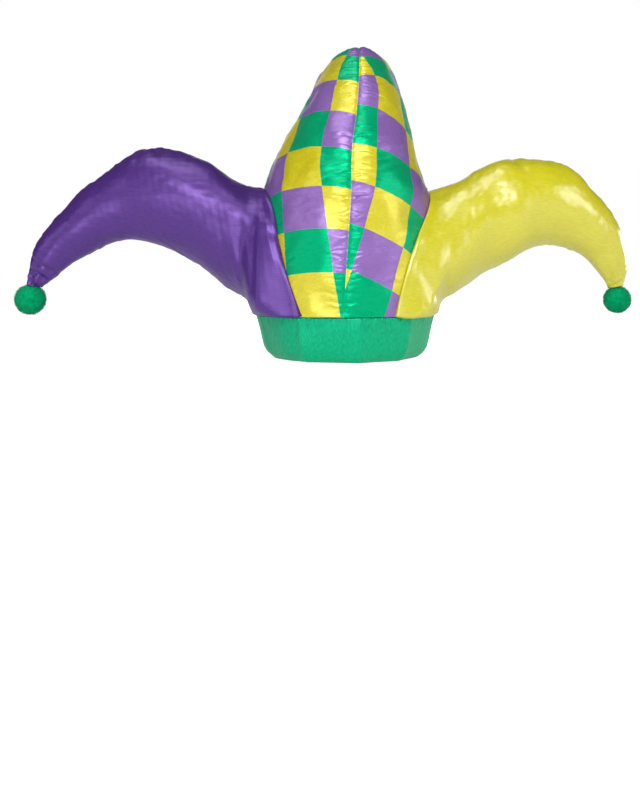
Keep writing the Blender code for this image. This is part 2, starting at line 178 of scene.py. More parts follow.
# The crown's grid, hollow, seams and creases in metres, and its sections from the rim to the tip.
crown = {
    "rows": 660,
    "columns": 280,  # even, so that both seams have a column of their own
    "columnShift": 0.25,  # draws the columns towards the two seams
    "domeRows": 36,
    "domeHeight": 0.114,
    "domeTop": 0.97,  # share of the dome's height up to which it has rows, under a flat fan
    "domePower": 2.8,
    "wall": 0.0025,
    "rimCalm": 0.006,  # distance from the rim at which the creases have their full size
    "seamDepth": 0.0017,
    "seamWidth": 0.0024,
    "seamCalm": 0.85,  # how much weaker the creases are right at a seam
    "calmWidth": 0.002,
    "creaseStart": 0.004,
    # gap, width, length, height
    "creases": (0.0050, 0.0010, 0.015, 0.0016),
    "wideCreases": (0.021, 0.0020, 0.026, 0.0013),
    "rootCreases": (0.0046, 0.0011, 0.0085, 0.0014),  # along the line where a horn is sewn on
    "wander": 0.0006,
    "bunchAt": 0.118,  # place along the seam where the hat bends over the head, with the largest creases
    "bunchReach": 0.022,
    "bunchLeast": 0.9,
    "bunchExtra": 0.7,
    "softNoise": 0.0006,
    "softWave": 0.034,
    "crinkle": 0.00010,
    "crinkleWave": 0.0085,
    "stretchFrom": 0.45,  # share of a gore's width behind which its print is stretched to meet the back seam
    # front, reach, height, back, reach, height, width, lean, back lean, gather
    "sections": np.array([
        (-1.000, 0.000, 0.000, 1.000, 0.000, 0.000, 1.000, -0.10, 0.10, 0.00),
        (-1.041, 0.000, 0.144, 1.000, 0.016, 0.126, 1.000, 0.06, -0.06, 0.00),
        (-1.046, 0.000, 0.289, 1.000, 0.041, 0.237, 0.994, 0.24, -0.20, 0.00),
        (-1.020, 0.000, 0.437, 1.000, 0.091, 0.330, 0.972, 0.41, -0.36, 0.00),
        (-0.918, 0.000, 0.576, 1.000, 0.149, 0.393, 0.880, 0.46, -0.70, 0.00),
        (-0.737, 0.000, 0.707, 1.000, 0.215, 0.437, 0.785, 0.76, -0.85, 0.00),
        (-0.531, 0.000, 0.832, 1.000, 0.281, 0.467, 0.678, 0.95, -0.40, 0.00),
        (-0.250, 0.000, 0.938, 1.000, 0.347, 0.485, 0.585, 1.00, 0.00, 0.00),
        (0.031, 0.000, 0.983, 1.000, 0.413, 0.496, 0.565, 1.00, 0.40, 0.00),
        (0.361, 0.000, 1.000, 1.000, 0.479, 0.500, 0.560, 1.00, 0.70, 0.00),
        (0.742, 0.000, 0.989, 1.000, 0.504, 0.500, 0.535, 1.00, 0.90, 0.00),
        (1.000, 0.124, 0.941, 1.000, 0.545, 0.489, 0.492, 1.00, 1.00, 0.00),
        (1.000, 0.421, 0.848, 1.000, 0.587, 0.467, 0.446, 1.00, 1.00, 0.00),
        (1.000, 0.653, 0.730, 1.000, 0.624, 0.437, 0.395, 1.00, 1.00, 0.00),
        (1.000, 0.818, 0.596, 1.000, 0.665, 0.400, 0.333, 1.00, 1.00, 0.00),
        (1.000, 0.926, 0.467, 1.000, 0.711, 0.352, 0.266, 1.00, 1.00, 0.02),
        (1.000, 0.983, 0.356, 1.000, 0.777, 0.296, 0.192, 1.00, 1.00, 0.06),
        (1.000, 1.000, 0.274, 1.000, 0.839, 0.248, 0.134, 1.00, 1.00, 0.12),
        (1.000, 0.992, 0.216, 1.000, 0.862, 0.208, 0.094, 1.00, 1.00, 0.14),
    ]),
}

# The chequered print on each gore, charted on the gore laid flat: along is millimetres
# behind the band's middle, high is millimetres above the floor. Columns and rows count squares.
printChart = {
    "left": {
        "start": 3.62, "along": 0.0204, "high": -0.0073, "bow": -0.295, "dip": 0.02,
        "rowStart": -1.50, "rowAlong": -0.0012, "rowHigh": 0.0275, "rowBow": 0.16, "rowDip": -0.02,
        "rowTip": 0.0, "fall": 0.55,
    },
    "right": {
        "start": 3.84, "along": 0.0219, "high": -0.0072, "bow": -0.19, "dip": -0.08,
        "rowStart": -0.25, "rowAlong": 0.0099, "rowHigh": 0.0252, "rowBow": 0.10, "rowDip": -0.26,
        "rowTip": -0.40, "fall": 0.19,
    },
}
# Where both charts bend, in the same millimetres.
printBends = {
    "bowAt": 175,
    "bowReach": 115,
    "dipAt": 258,
    "dipReach": 34,
    "tipAt": 296,
    "tipReach": 14,
    "asideFrom": -97,
    "asideReach": 160,
    "asideSize": 1.6,
}


def crownEdges(at):
    # Front edge and back edge of the crown's sections, their half width and their gather.
    row = rowsAt(crown["sections"], at)
    half = hat["headDepth"] / 2
    front = np.stack([hat["crownLean"] * row[..., 7], half * row[..., 0] + hat["crownReach"] * row[..., 1],
                      hat["crownBase"] + hat["crownHeight"] * row[..., 2]], axis=-1)
    back = np.stack([hat["crownLean"] * row[..., 8], half * row[..., 3] + hat["crownReach"] * row[..., 4],
                     hat["crownBase"] + hat["crownHeight"] * row[..., 5]], axis=-1)
    return front, back, hat["headWidth"] / 2 * row[..., 6], row[..., 9]


def crownForm(at, angle):
    # Crown's surface before its creases: an ellipse from the front edge, by the right side, to the back edge.
    front, back, half, gather = crownEdges(at)
    share = ((1 + np.cos(angle)) / 2)[..., None]
    point = back + share * (front - back)
    point = point + (half * np.sin(angle))[..., None] * sideways
    centre = (front + back) / 2
    return centre + (point - centre) * (1 + gather * np.cos(hat["gathers"] * angle))[..., None]


def crownSide(depth, height, hand):
    # Crown's x at a point of the side view. 24 halvings among the first nine sections find the one whose line
    # passes through the point, and the ellipse gives the half width there. Outside the side view it is -1.
    low, high = np.zeros_like(depth), np.full_like(depth, 9.0)
    for step in range(24):
        at = (low + high) / 2
        front, back, half, _ = crownEdges(at)
        lineY, lineZ = back[..., 1] - front[..., 1], back[..., 2] - front[..., 2]
        above = lineY * (height - front[..., 2]) - lineZ * (depth - front[..., 1]) > 0
        low, high = np.where(above, at, low), np.where(above, high, at)
    share = ((depth - back[..., 1]) * -lineY + (height - back[..., 2]) * -lineZ) / (lineY**2 + lineZ**2)
    width = np.sqrt(np.clip(1 - (2 * share - 1) ** 2, 0, None)) * half
    centre = back[..., 0] + share * (front[..., 0] - back[..., 0])
    return np.where((share > 0) & (share < 1), centre * hand + width, -1.0)


def crownHollow(angle):
    # Inside of the crown: an oval dome over the head, from its top down to the rim. At a share of its height
    # its width is (1 - share ** power) ** (1 / power) of the rim's.
    share = np.sin(np.linspace(np.arcsin(crown["domeTop"]), 0, crown["domeRows"]))[:, None]
    spread = (1 - share ** crown["domePower"]) ** (1 / crown["domePower"])
    across = (hat["headWidth"] / 2 - crown["wall"]) * spread * np.sin(angle)
    along = (hat["headDepth"] / 2 - crown["wall"]) * spread * -np.cos(angle)
    height = hat["crownBase"] + crown["domeHeight"] * share
    return np.stack([across, along, np.broadcast_to(height, across.shape)], axis=-1)


def makeCrown():
    # Two gores sewn along the front and back edge: the form, a valley along each seam, creases that run
    # out from the seams, soft hollows and fine crinkles, all along the surface's normal.
    phase = np.linspace(0, 2 * np.pi, crown["columns"], endpoint=False)
    angle = phase - crown["columnShift"] * np.sin(2 * phase)
    at = evenRows(lambda fine: lengths(crownEdges(fine)[0]), len(crown["sections"]) - 1, crown["rows"])
    points = crownForm(*np.meshgrid(at, angle, indexing="ij"))
    half = crown["columns"] // 2
    closed = np.concatenate([points, points[:, :1]], axis=1)
    walkedRound = lengths(closed.transpose(1, 0, 2)).T
    fromFront = np.minimum(walkedRound, walkedRound[:, -1:] - walkedRound)
    fromBack = np.abs(walkedRound - walkedRound[:, half:half + 1])
    frontLength = lengths(points[:, 0])[:, None]
    backLength = lengths(points[:, half])[:, None]
    fade = np.clip(frontLength / crown["rimCalm"], 0, 1)
    press = np.zeros_like(fromFront[:, :-1])
    for away, length, seed in ((fromFront, frontLength, 1), (fromBack, backLength, 5)):
        away = away[:, :-1]
        press -= crown["seamDepth"] * np.exp(-away / crown["seamWidth"])
        narrow = seamSpots(seed, crown["creaseStart"], length[-1, 0], *crown["creases"])
        wide = seamSpots(seed + 1, crown["creaseStart"], length[-1, 0], *crown["wideCreases"])
        bunched = np.exp(-(((length - crown["bunchAt"]) / crown["bunchReach"]) ** 2))
        bunched = crown["bunchLeast"] + crown["bunchExtra"] * bunched
        calm = 1 - crown["seamCalm"] * np.exp(-away / crown["calmWidth"])
        press += puckers(length, away, np.concatenate([narrow, wide]), crown["wander"]) * bunched * calm
    press += crown["softNoise"] * ripple(points, crown["softWave"], 11)
    press += crown["crinkle"] * ripple(points * np.array([0.7, 0.7, 1.6]), crown["crinkleWave"], 12)
    for horn, seed in ((purpleHorn, 15), (yellowHorn, 17)):
        near, walked = nearRoot(horn, points)
        spots = seamSpots(seed, 0.0, walked.max(), *crown["rootCreases"])
        # The seams' creases end 1.5 mm from the horn, and the horn's own begin 1 mm from it.
        press *= np.clip((near - 0.0015) / 0.008, 0, 1)
        press += puckers(walked, near, spots) * np.clip((near - 0.001) / 0.002, 0, 1)
    points = points + normalsOf(points) * (press * fade)[..., None]
    # Laid flat, a point lies on its section's straight line, as far from the front edge as on the surface.
    # Further round than stretchFrom it lies nearer, by a line, so that the back seam is on the back edge.
    front, back, _, _ = crownEdges(at)
    line = (back - front)[:, 1:]
    straight = np.linalg.norm(line, axis=1, keepdims=True)
    girth = fromFront[:, half:half + 1]
    late = np.clip(fromFront / girth - crown["stretchFrom"], 0, None) / (1 - crown["stretchFrom"])
    laid = fromFront - (girth - straight) * late
    flat = (front[:, None, 1:] + laid[..., None] * (line / straight)[:, None]) * 1000

    def uvs(i, j, face):
        # Column = start + along * x + high * z + bow * bend + dip * dip. The row is the same with its own
        # numbers, + rowTip * tip + fall * aside. The left gore counts its columns the other way, and the
        # added 30 to 32 keep both counts above 0.
        spot = flat[np.clip(i - crown["domeRows"], 0, crown["rows"] - 1), j]
        along, high = spot.T
        bend = ((high - printBends["bowAt"]) / printBends["bowReach"]) ** 2
        dip = np.exp(-(((high - printBends["dipAt"]) / printBends["dipReach"]) ** 2))
        tip = np.clip((high - printBends["tipAt"]) / printBends["tipReach"], 0, 1)
        aside = np.tanh((along - printBends["asideFrom"]) / printBends["asideReach"])
        aside = (printBends["asideSize"] * aside) ** 2
        sides = []
        for side in ("left", "right"):
            c = printChart[side]
            column = c["start"] + c["along"] * along + c["high"] * high + c["bow"] * bend + c["dip"] * dip
            row = c["rowStart"] + c["rowAlong"] * along + c["rowHigh"] * high + c["rowBow"] * bend
            row += c["rowDip"] * dip + c["rowTip"] * tip + c["fall"] * aside
            sides.append(np.stack([31 - column if side == "left" else 32 + column, row + 30], axis=1))
        return np.where((face < half)[:, None], sides[1], sides[0])

    made = solid("crownSatin", np.concatenate([crownHollow(angle), points]) + middle, uvs)
    # The dome's faces, and the fan that closes its top, show the cloth's other side.
    inside = np.zeros(len(made.data.polygons), int)
    inside[:crown["domeRows"] * crown["columns"]] = 1
    poleFan = (crown["domeRows"] + crown["rows"] - 1) * crown["columns"]
    inside[poleFan:poleFan + crown["columns"]] = 1
    return made, inside


def plainUvs(points):
    # UVs in metres of cloth: round the piece, and along it.
    closed = np.concatenate([points, points[:, :1]], axis=1)
    across = lengths(closed.transpose(1, 0, 2)).T
    along = lengths(points)
    along = np.concatenate([along, along[:, :1]], axis=1)

    def uvs(i, j, face):
        i = np.minimum(i, len(points) - 1)
        return np.stack([across[i, j], along[i, j]], axis=1)

    return uvs


# What both side horns share, in metres.
horns = {
    "rows": 340,
    "columns": 240,
    "columnShift": 0.2,  # draws the columns towards the two seams
    "rootStep": 0.62,  # step between the rows at the root, as a share of the mean step
    "capRows": 14,
    "rootEnd": 0.45,  # share of the sections within which the horn leaves the crown
    "slimEnd": 0.42,  # share of the sections up to which the front is slimmed, and over which that fades
    "slimFade": 0.16,
    "floorEnd": 0.4,  # share of the sections that stop at the band's seam
    "floorGap": 0.0002,
    "floorRound": 0.002,
    "rootGap": 0.0004,  # how far outside the crown the root's edge, its cap and the skin near it lie
    "capGap": 0.0005,
    "skinGap": 0.0007,
    "lift": 0.0021,  # how much further out the skin is a little way from the root
    "liftRise": 0.0030,
    "liftFall": 0.030,
    "puff": 0.0022,  # the fold that the horn makes where it is sewn on
    "puffWidth": 0.0045,
    "puffReach": 0.012,
    "slack": 0.0005,  # how far the cloth lies inside the source's form, which leaves room for its creases
    "gatherShare": 0.45,  # how much of the source's gather at the tip is kept
    "seamDepth": 0.0012,
    "seamWidth": 0.0024,
    # gap, width, length, height
    "creases": (0.012, 0.0016, 0.010, 0.00050),
    "rootCreases": (0.011, 0.0026, 0.016, 0.0009),
    "creaseShare": 0.55,  # how much of the height in topCreases and lowCreases is used
    "softNoise": 0.0007,
    "softWave": 0.045,
    "crinkle": 0.00008,
    "crinkleWave": 0.009,
}
purpleHorn = {
    "hand": -1,
    "reach": 0.2255,
    "rise": 0.165,
    "sweep": -0.010,
    "seed": 21,
    "rootCrease": {
        "out": 0.0800, "slant": 0.00, "low": 0.045, "high": 0.140, "depth": -0.0034, "inner": 0.019,
        "outer": 0.0045,
    },
    # height, share of the thickness left in front where the horn is sewn on
    "rootFront": [
        (0.042, 1.02), (0.067, 0.985), (0.094, 0.95), (0.118, 0.925), (0.142, 0.975), (0.155, 1.00),
    ],
    # from the tip, depth, width, tilt
    "pinches": [(0.027, 0.0016, 0.0020, 0.8), (0.013, 0.0014, 0.0020, -0.4)],
    "bunch": 0.0005,
    # side, top, rise, low, rise, head, horn, belly, square, gather
    "sections": np.array([
        (0.35, 0.000, 0.660, 0.000, -0.10, 0.90, 0.00, 0.16, 2.6, 0.00),
        (0.70, 0.000, 0.745, 0.000, -0.10, 0.86, 0.00, 0.15, 2.6, 0.00),
        (0.97, 0.000, 0.756, 0.000, -0.02, 0.78, 0.00, 0.22, 2.5, 0.00),
        (1.00, 0.090, 0.812, 0.055, 0.103, 0.40, 0.54, 0.38, 2.3, 0.00),
        (1.00, 0.203, 0.906, 0.142, 0.170, 0.14, 0.87, 0.46, 2.2, 0.00),
        (1.00, 0.321, 0.975, 0.251, 0.291, 0.00, 1.00, 0.50, 2.1, 0.00),
        (1.00, 0.439, 1.010, 0.369, 0.372, 0.00, 0.89, 0.50, 2.0, 0.00),
        (1.00, 0.544, 0.970, 0.474, 0.421, 0.00, 0.79, 0.50, 2.0, 0.00),
        (1.00, 0.648, 0.873, 0.561, 0.439, 0.00, 0.69, 0.50, 2.0, 0.00),
        (1.00, 0.758, 0.764, 0.644, 0.422, 0.00, 0.59, 0.50, 2.0, 0.00),
        (1.00, 0.854, 0.633, 0.723, 0.364, 0.00, 0.51, 0.50, 2.0, 0.00),
        (1.00, 0.932, 0.515, 0.801, 0.303, 0.00, 0.42, 0.50, 2.0, 0.02),
        (1.00, 0.980, 0.382, 0.867, 0.236, 0.00, 0.33, 0.50, 2.0, 0.06),
        (1.00, 1.000, 0.279, 0.904, 0.197, 0.00, 0.23, 0.50, 2.0, 0.12),
        (1.00, 1.012, 0.180, 0.940, 0.156, 0.00, 0.17, 0.50, 2.0, 0.14),
    ]),
    # along, round, along width, round width, depth
    "folds": [
        (0.19, 125, 0.022, 42, 0.0060),
        (0.17, 28, 0.040, 18, 0.0048),
        (0.42, 22, 0.018, 16, 0.0024),
        (0.55, 20, 0.018, 14, 0.0018),
    ],
    # place, slant, width, length, height
    "topCreases": [
        (0.186, -0.25, 0.0030, 0.026, 0.0017), (0.196, 0.20, 0.0035, 0.022, -0.0015),
        (0.207, 0.10, 0.0028, 0.030, 0.0012), (0.227, 0.25, 0.0030, 0.022, 0.0018),
        (0.247, 0.30, 0.0026, 0.018, -0.0014), (0.286, 0.35, 0.0026, 0.015, 0.0016),
        (0.140, -0.40, 0.0050, 0.030, 0.0010), (0.165, -0.30, 0.0040, 0.026, 0.0010),
    ],
    "lowCreases": [
        (0.112, 1.30, 0.0028, 0.020, 0.0011), (0.124, 1.10, 0.0024, 0.024, 0.0012),
        (0.139, 1.40, 0.0026, 0.026, -0.0011), (0.155, 1.20, 0.0028, 0.018, 0.0010),
        (0.100, 1.00, 0.0026, 0.022, 0.0011), (0.245, -0.60, 0.0024, 0.014, 0.0009),
    ],
}
yellowHorn = {
    "hand": 1,
    "reach": 0.190,
    "rise": 0.156,
    "sweep": 0.025,
    "seed": 41,
    "rootCrease": {
        "out": 0.0990, "slant": -0.66, "low": 0.045, "high": 0.100, "depth": 0.0026, "inner": 0.007,
        "outer": 0.015,
    },
    # height, share of the thickness left in front where the horn is sewn on
    "rootFront": [(0.042, 0.965), (0.094, 0.965), (0.120, 0.935), (0.142, 0.87), (0.160, 0.85)],
    # from the tip, depth, width, tilt
    "pinches": [(0.006, 0.0006, 0.0020, 0.5)],
    "bunch": 0.0002,
    # side, top, rise, low, rise, head, horn, belly, square, gather
    "sections": np.array([
        (0.35, 0.000, 0.690, 0.000, -0.11, 0.90, 0.00, 0.16, 2.6, 0.00),
        (0.70, 0.000, 0.775, 0.000, -0.11, 0.86, 0.00, 0.15, 2.6, 0.00),
        (0.97, 0.000, 0.779, 0.000, -0.02, 0.78, 0.00, 0.22, 2.5, 0.00),
        (1.00, 0.108, 0.837, 0.066, 0.095, 0.40, 0.54, 0.38, 2.3, 0.00),
        (1.00, 0.234, 0.926, 0.171, 0.176, 0.14, 0.87, 0.46, 2.2, 0.00),
        (1.00, 0.350, 0.994, 0.287, 0.272, 0.00, 1.00, 0.50, 2.1, 0.00),
        (1.00, 0.466, 1.003, 0.413, 0.346, 0.00, 0.92, 0.50, 2.0, 0.00),
        (1.00, 0.587, 0.996, 0.518, 0.413, 0.00, 0.83, 0.50, 2.0, 0.00),
        (1.00, 0.703, 0.949, 0.613, 0.440, 0.00, 0.74, 0.50, 2.0, 0.00),
        (1.00, 0.808, 0.859, 0.697, 0.423, 0.00, 0.65, 0.50, 2.0, 0.00),
        (1.00, 0.903, 0.734, 0.771, 0.385, 0.00, 0.56, 0.50, 2.0, 0.00),
        (1.00, 0.982, 0.583, 0.834, 0.333, 0.00, 0.46, 0.50, 2.0, 0.02),
        (1.00, 1.036, 0.436, 0.887, 0.269, 0.00, 0.35, 0.50, 2.0, 0.06),
        (1.00, 1.055, 0.301, 0.926, 0.205, 0.00, 0.24, 0.50, 2.0, 0.12),
        (1.00, 1.040, 0.173, 0.945, 0.157, 0.00, 0.17, 0.50, 2.0, 0.14),
    ]),
    # along, round, along width, round width, depth
    "folds": [
        (0.19, 130, 0.022, 36, 0.0042),
        (0.41, 24, 0.020, 18, 0.0020),
        (0.16, 20, 0.040, 16, 0.0024),
    ],
    # place, slant, width, length, height
    "topCreases": [
        (0.168, 0.15, 0.0035, 0.034, -0.0013), (0.177, 0.10, 0.0035, 0.028, 0.0010),
        (0.205, 0.30, 0.0030, 0.020, 0.0010), (0.236, 0.35, 0.0030, 0.018, 0.0012),
        (0.130, -0.30, 0.0050, 0.028, 0.0010), (0.262, 0.40, 0.0026, 0.014, -0.0011),
    ],
    "lowCreases": [
        (0.118, 1.00, 0.0030, 0.018, 0.0009), (0.142, 1.20, 0.0030, 0.022, 0.0010),
        (0.230, -0.50, 0.0028, 0.014, 0.0009),
    ],
}


def hornForm(horn, at, angle):
    # Horn's surface before its creases: an oval from the low edge to the top edge, widest at its belly, round
    # at square 2 and fuller above it. Folds are bells pressed in, and the root stops at the band's seam.
    row = rowsAt(horn["sections"], at)
    side, top, topRise, low, lowRise, head, thick, belly, square, gather = np.moveaxis(row, -1, 0)
    share = at / (len(horn["sections"]) - 1)
    hand, reach, height = horn["hand"], horn["reach"], horn["rise"]
    x = hand * hat["headWidth"] / 2 * side
    y = horn["sweep"] * share**2
    outer = np.stack([x + hand * reach * top, y, hat["bandHeight"] + height * topRise], axis=-1)
    inner = np.stack([x + hand * reach * low, y, hat["bandHeight"] + height * lowRise], axis=-1)
    thickness = hat["headDepth"] / 2 * head + hat["hornThickness"] / 2 * thick
    rise = np.abs(np.cos(angle)) ** (2 / square)
    part = np.where(np.cos(angle) >= 0, belly + (1 - belly) * rise, belly * (1 - rise))
    across = thickness * np.sign(np.sin(angle)) * np.abs(np.sin(angle)) ** (2 / square)
    point = inner + part[..., None] * (outer - inner)
    slim = 1 - np.interp(point[..., 2], *np.array(horn["rootFront"]).T)
    slim = slim * np.clip((horns["slimEnd"] - share) / horns["slimFade"], 0, 1)
    across = np.where(across > 0, across * (1 - slim), across)
    point = point + across[..., None] * frontwards
    centre = (inner + outer) / 2
    gathered = 1 + horns["gatherShare"] * gather * np.cos(hat["gathers"] * angle)
    point = centre + (point - centre) * gathered[..., None]
    inwards = centre - point
    inwards = inwards / np.maximum(np.linalg.norm(inwards, axis=-1, keepdims=True), 1e-9)
    degrees = np.degrees(angle)
    for alongAt, roundAt, alongWide, roundWide, depth in horn["folds"]:
        off = (degrees - roundAt + 180) % 360 - 180
        bell = np.exp(-(((share - alongAt) / alongWide) ** 2) - (off / roundWide) ** 2)
        point = point + inwards * (depth * bell)[..., None]
    floor = hat["crownBase"] + horns["floorGap"]
    above = point[..., 2] - floor
    soft = 0.5 * (point[..., 2] + floor + np.sqrt(above**2 + horns["floorRound"] ** 2))
    point[..., 2] = np.where(share < horns["floorEnd"], soft, point[..., 2])
    return point


def rootRows(horn, angle):
    # Row number at which each column of the horn leaves the crown: the last place that is inside it, found
    # on 300 rows and between two of them by a straight line, then evened out round the root 14 times.
    last = horns["rootEnd"] * (len(horn["sections"]) - 1)
    at = np.linspace(0, last, 300)
    points = hornForm(horn, *np.meshgrid(at, angle, indexing="ij"))
    gap = points[..., 0] * horn["hand"] - crownSide(points[..., 1], points[..., 2], horn["hand"])
    inside = gap < horns["rootGap"]
    final = len(at) - 1 - np.argmax(inside[::-1], axis=0)
    final = np.where(inside.any(axis=0), np.minimum(final, len(at) - 2), 0)
    columns = np.arange(len(angle))
    before, after = gap[final, columns], gap[final + 1, columns]
    part = np.clip((horns["rootGap"] - before) / np.maximum(after - before, 1e-9), 0, 1)
    start = at[final] + part * (at[1] - at[0])
    for step in range(14):
        start = (np.roll(start, 1) + 2 * start + np.roll(start, -1)) / 4
    return start


def nearRoot(horn, points):
    # For each point of a grid: its distance from the horn's root line, the least over the line's 240 spots,
    # and how far along that line its nearest spot is.
    angle = np.linspace(0, 2 * np.pi, 240, endpoint=False)
    line = hornForm(horn, rootRows(horn, angle), angle)
    along = lengths(line)
    near = np.full(points.shape[:2], 1.0)
    walked = np.zeros(points.shape[:2])
    for spot, walkedHere in zip(line, along):
        away = np.linalg.norm(points - spot, axis=2)
        walked = np.where(away < near, walkedHere, walked)
        near = np.minimum(away, near)
    return near, walked


def makeHorn(name, horn):
    # Skin from the line where it meets the crown to the tip, and a root that lies on the crown's side.
    # Displacement along the normal: the sewn fold at the root, the seam valleys and their creases.
    hand = horn["hand"]
    phase = np.linspace(0, 2 * np.pi, horns["columns"], endpoint=False)
    angle = phase - horns["columnShift"] * np.sin(2 * phase)
    start = rootRows(horn, angle)
    last = len(horn["sections"]) - 1
    share = np.linspace(0, 1, horns["rows"])[:, None]
    share = share * (horns["rootStep"] + (1 - horns["rootStep"]) * share)
    at = start + (last - start) * share
    points = hornForm(horn, at, np.broadcast_to(angle, at.shape))
    half = horns["columns"] // 2
    walked = lengths(points)
    closed = np.concatenate([points, points[:, :1]], axis=1)
    walkedRound = lengths(closed.transpose(1, 0, 2)).T
    fromTop = np.minimum(walkedRound, walkedRound[:, -1:] - walkedRound)[:, :-1]
    fromLow = np.abs(walkedRound - walkedRound[:, half:half + 1])[:, :-1]
    press = np.zeros_like(walked)
    for away, column, seed in ((fromTop, 0, horn["seed"]), (fromLow, half, horn["seed"] + 3)):
        length = walked[:, column:column + 1]
        press -= horns["seamDepth"] * np.exp(-away / horns["seamWidth"])
        spots = seamSpots(seed, 0.01, length[-1, 0], *horns["creases"])
        press += puckers(length, away, spots) * (1 - 0.5 * np.exp(-away / 0.002))
    outwards = np.abs(points[..., 0])
    press += horns["creaseShare"] * puckers(outwards, fromTop, horn["topCreases"])
    press += horns["creaseShare"] * puckers(outwards, fromLow, horn["lowCreases"])
    # The upright crease near the root, on the front only, fades within 12 mm above its low end and 20 mm
    # below its high end.
    crease = horn["rootCrease"]
    off = outwards - crease["out"] - crease["slant"] * (points[..., 2] - crease["low"])
    reach = np.clip((points[..., 2] - crease["low"]) / 0.012, 0, 1)
    reach = reach * np.clip((crease["high"] - points[..., 2]) / 0.02, 0, 1)
    bend = np.exp(-((off / np.where(off > 0, crease["outer"], crease["inner"])) ** 2))
    press -= crease["depth"] * bend * reach * (points[..., 1] < 0)
    # Near the tip: rings pinched in, deepest in front, and cloth bunched up over the last 26 mm.
    toTip = walked[-1:] - walked
    for fromTip, depth, width, tilt in horn["pinches"]:
        pinch = (toTip - fromTip - 0.004 * np.cos(angle + tilt)) / width
        press -= depth * np.exp(-(pinch**2)) * (0.2 + 0.8 * np.clip(np.sin(angle), 0, 1))
    bunch = np.clip(1 - toTip / 0.026, 0, 1)
    press += horn["bunch"] * bunch * ripple(points, 0.008, horn["seed"] + 6)
    press += horns["softNoise"] * ripple(points, horns["softWave"], horn["seed"] + 7) - horns["slack"]
    press += horns["crinkle"] * ripple(points, horns["crinkleWave"], horn["seed"] + 8)
    press *= np.clip(walked / 0.01, 0, 1)
    swell = np.sqrt(np.clip(walked / horns["puffWidth"], 0, 1))
    press += horns["puff"] * np.exp(-walked / horns["puffReach"]) * swell
    roots = seamSpots(horn["seed"] + 9, 0.0, walkedRound[0, -1], *horns["rootCreases"])
    press += puckers(walkedRound[0:1, :-1], walked, roots) * np.clip(walked / 0.004, 0, 1)
    points = points + normalsOf(points) * (press * hand)[..., None]
    # Nothing of the skin sinks into the crown: it stays outside its side by the gap and the lift.
    side = crownSide(points[..., 1], points[..., 2], hand)
    lift = horns["lift"] * (1 - np.exp(-walked / horns["liftRise"])) * np.exp(-walked / horns["liftFall"])
    lifted = hand * np.maximum(points[..., 0] * hand, side + horns["skinGap"] + lift)
    points[..., 0] = np.where(side > 0, lifted, points[..., 0])
    points[0, :, 0] = np.where(side[0] > 0, hand * (side[0] + horns["rootGap"]), points[0, :, 0])
    edge = points[0]
    hub = edge.mean(axis=0)
    shrink = np.linspace(0, 1, horns["capRows"] + 1)[:-1][:, None, None]
    cap = hub + (edge - hub) * shrink
    side = crownSide(cap[..., 1], cap[..., 2], hand)
    cap[1:, :, 0] = np.where(side[1:] > 0, hand * (side[1:] + horns["capGap"]), cap[1:, :, 0])
    cap[0, :, 0] = cap[1, :, 0].mean()
    points = np.concatenate([cap, points])
    return solid(name, points + middle, plainUvs(points))


# The head band, a stiffened strip with turned edges, in metres.
band = {
    "columns": 720,
    "wall": 0.003,
    "tuckSide": 0.017,
    "tuckFront": 0.010,
    "faceRows": 34,
    "faceTop": 0.97,  # shares of the height between which the face is, with the turned edges beyond
    "faceLow": 0.035,
    "turnPoints": 8,
    # gap, width, length, height
    "gathers": (0.0050, 0.0012, 0.008, 0.0009),
    "softNoise": 0.00025,
    "softWave": 0.03,
    # height, tuck
    "profile": np.array([
        (1.00, 0.00),
        (0.72, 0.14),
        (0.45, 0.27),
        (0.25, 0.42),
        (0.11, 0.64),
        (0.00, 1.00),
    ]),
    # degrees to the right of the front at which the stiffened strip bends, and how sharply
    "bends": np.array([
        (-180, 0.3), (-139, 0.4), (-100, 0.35), (-66, 0.6), (-43, 0.9), (-30, 1.1), (10, 1.1), (44, 1.1),
        (76, 0.5), (112, 0.4), (151, 0.35), (180, 0.3),
    ]),
}


def bandFace(height, angle, inset):
    # Band's face at a share of its height: an oval drawn in by its tuck. Between two bends the strip is
    # nearly flat: a parabola stands out at the bends and in between them, more so towards the lower edge.
    tuck = np.interp(height, band["profile"][::-1, 0], band["profile"][::-1, 1])
    bends, sharpness = band["bends"].T
    degrees = np.degrees(angle)
    panel = np.clip(np.searchsorted(bends, degrees, side="right") - 1, 0, len(bends) - 2)
    off = 2 * (degrees - bends[panel]) / (bends[panel + 1] - bends[panel]) - 1
    turn = np.radians(bends[panel + 1] - bends[panel]) / 2
    bulge = hat["headDepth"] / 2 * (1 - np.cos(turn))  # how far the round outline stands out of a flat panel
    flatness = np.interp(degrees, bends, sharpness) * (0.45 + 0.55 * (1 - height) ** 0.6)
    ridge = (2 * off**2 - 1) * bulge / 2 * flatness
    across = hat["headWidth"] / 2 - band["tuckSide"] * tuck + ridge - inset
    along = hat["headDepth"] / 2 - band["tuckFront"] * tuck + ridge - inset
    return np.stack([across * np.sin(angle), -along * np.cos(angle), height * hat["bandHeight"]], axis=-1)


